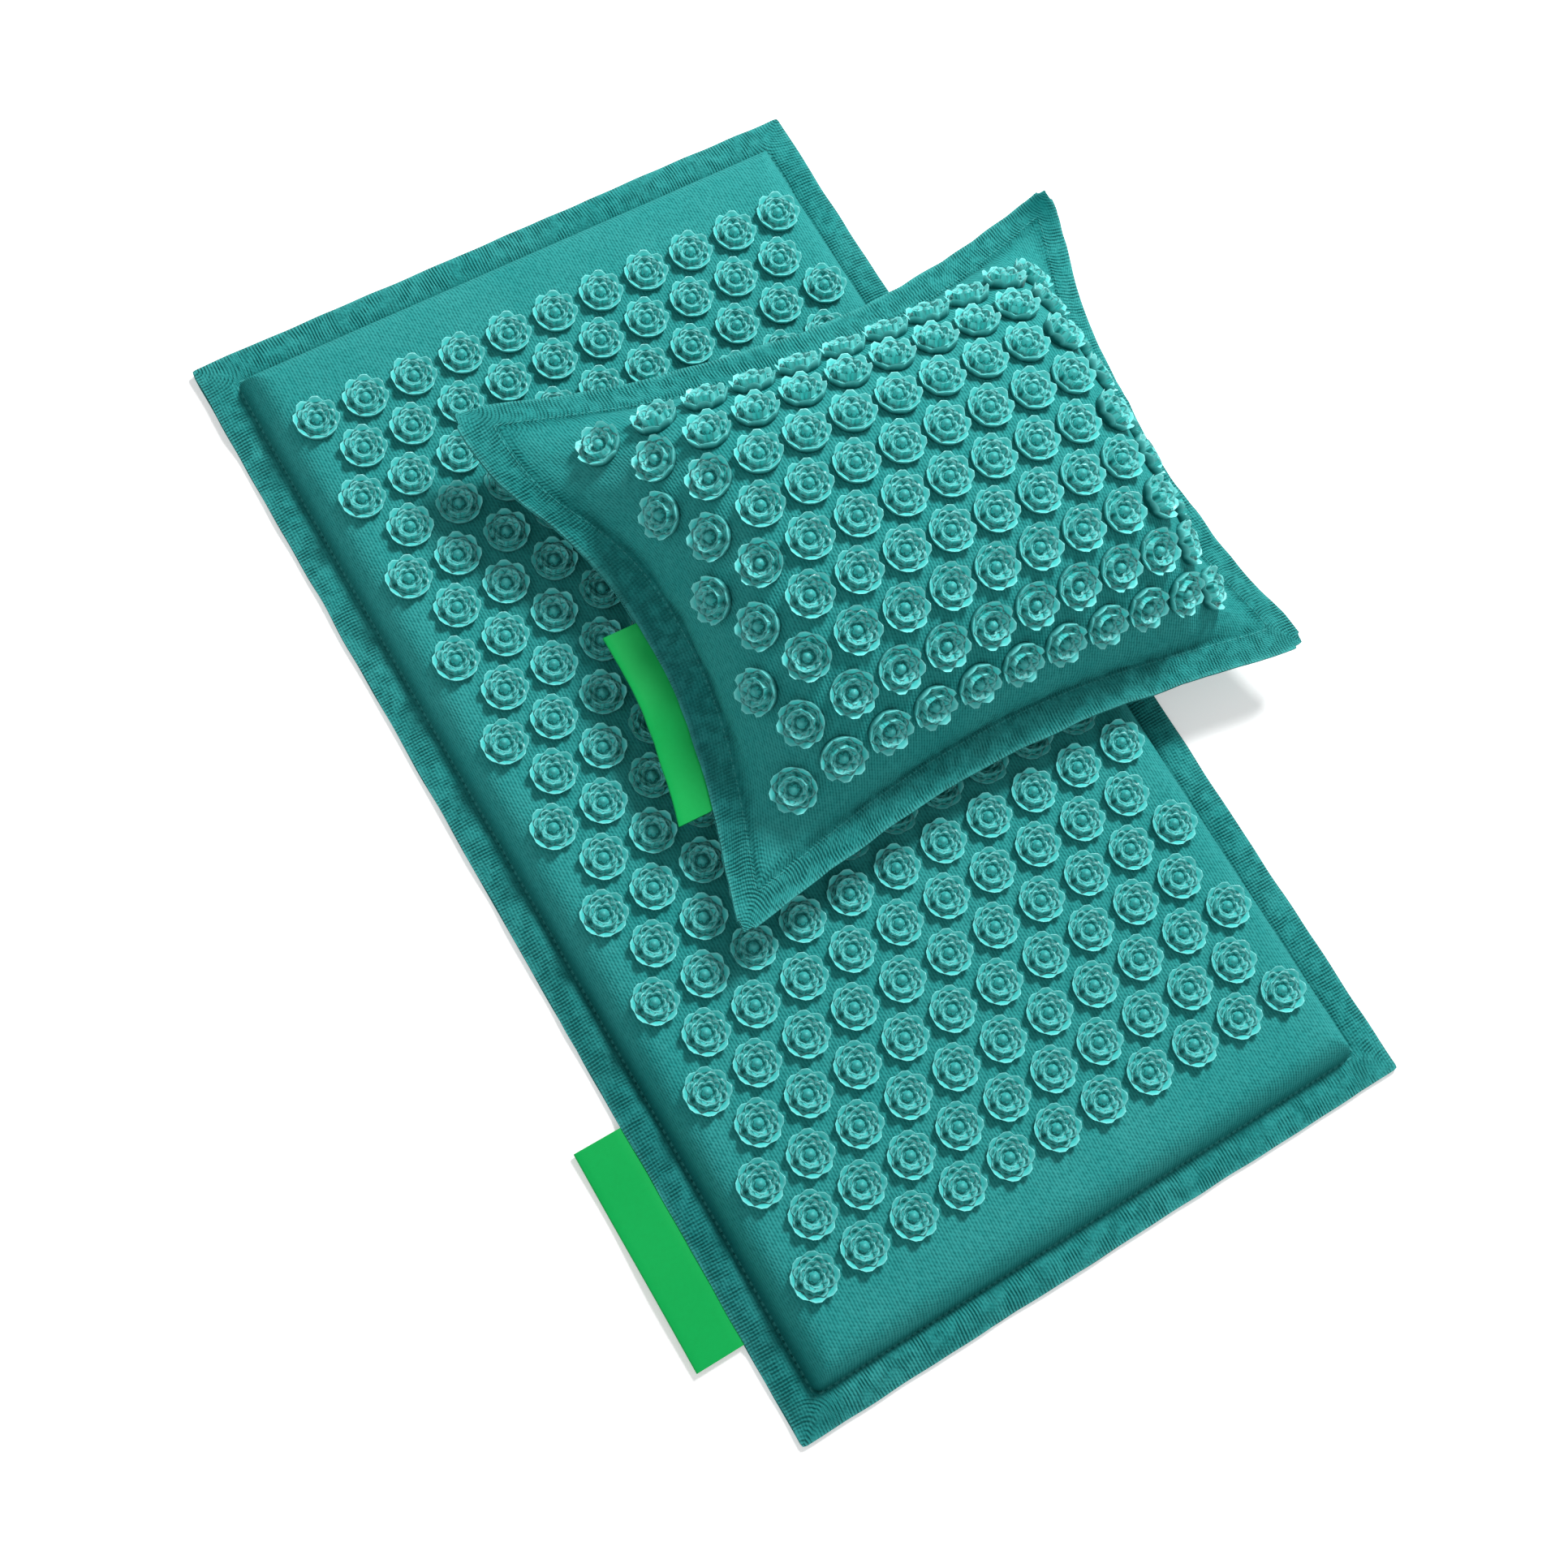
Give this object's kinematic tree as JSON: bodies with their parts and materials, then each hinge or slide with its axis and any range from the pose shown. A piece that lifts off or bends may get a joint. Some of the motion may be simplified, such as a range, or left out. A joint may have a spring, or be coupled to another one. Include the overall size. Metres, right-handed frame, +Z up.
{
  "type": "acupressure mat",
  "caption": "Padded cloth mat with a sewn flange, covered with staggered rows of moulded spiked discs, and a plump pillow to match lying across it.",
  "frame": {"origin": "centre of the mat's underside", "axes": "+X across the mat, +Y along the mat towards its closure, +Z up"},
  "size_m": [0.5593, 0.73, 0.1468],
  "materials": {
    "cover_cloth": "fine ribbed weave, teal",
    "disc_plastic": "moulded, light teal, satin gloss",
    "core_fibre": "pressed plant fibre",
    "husk": "loose husks",
    "lining": "plain undyed cotton",
    "hook_loop": "hook and loop pile, dark teal",
    "label_ribbon": "smooth satin ribbon, green"
  },
  "bodies": {
    "mat": {"mat_top_cover": "cover_cloth", "mat_bottom_cover": "cover_cloth", "mat_core": "core_fibre", "mat_hook_strip": "hook_loop", "mat_loop_strip": "hook_loop", "mat_label": "label_ribbon"},
    "pillow": {"pillow_top_cover": "cover_cloth", "pillow_bottom_cover": "cover_cloth", "pillow_inner_bag_top": "lining", "pillow_inner_bag_bottom": "lining", "pillow_filling": "husk", "pillow_hook_strip": "hook_loop", "pillow_loop_strip": "hook_loop", "pillow_label": "label_ribbon"}
  },
  "joints": [
    {"name": "pillow_lift", "type": "slide", "parent": "mat", "child": "pillow", "axis": [0, 0, 1], "range_m": [0, 0.25]}
  ]
}
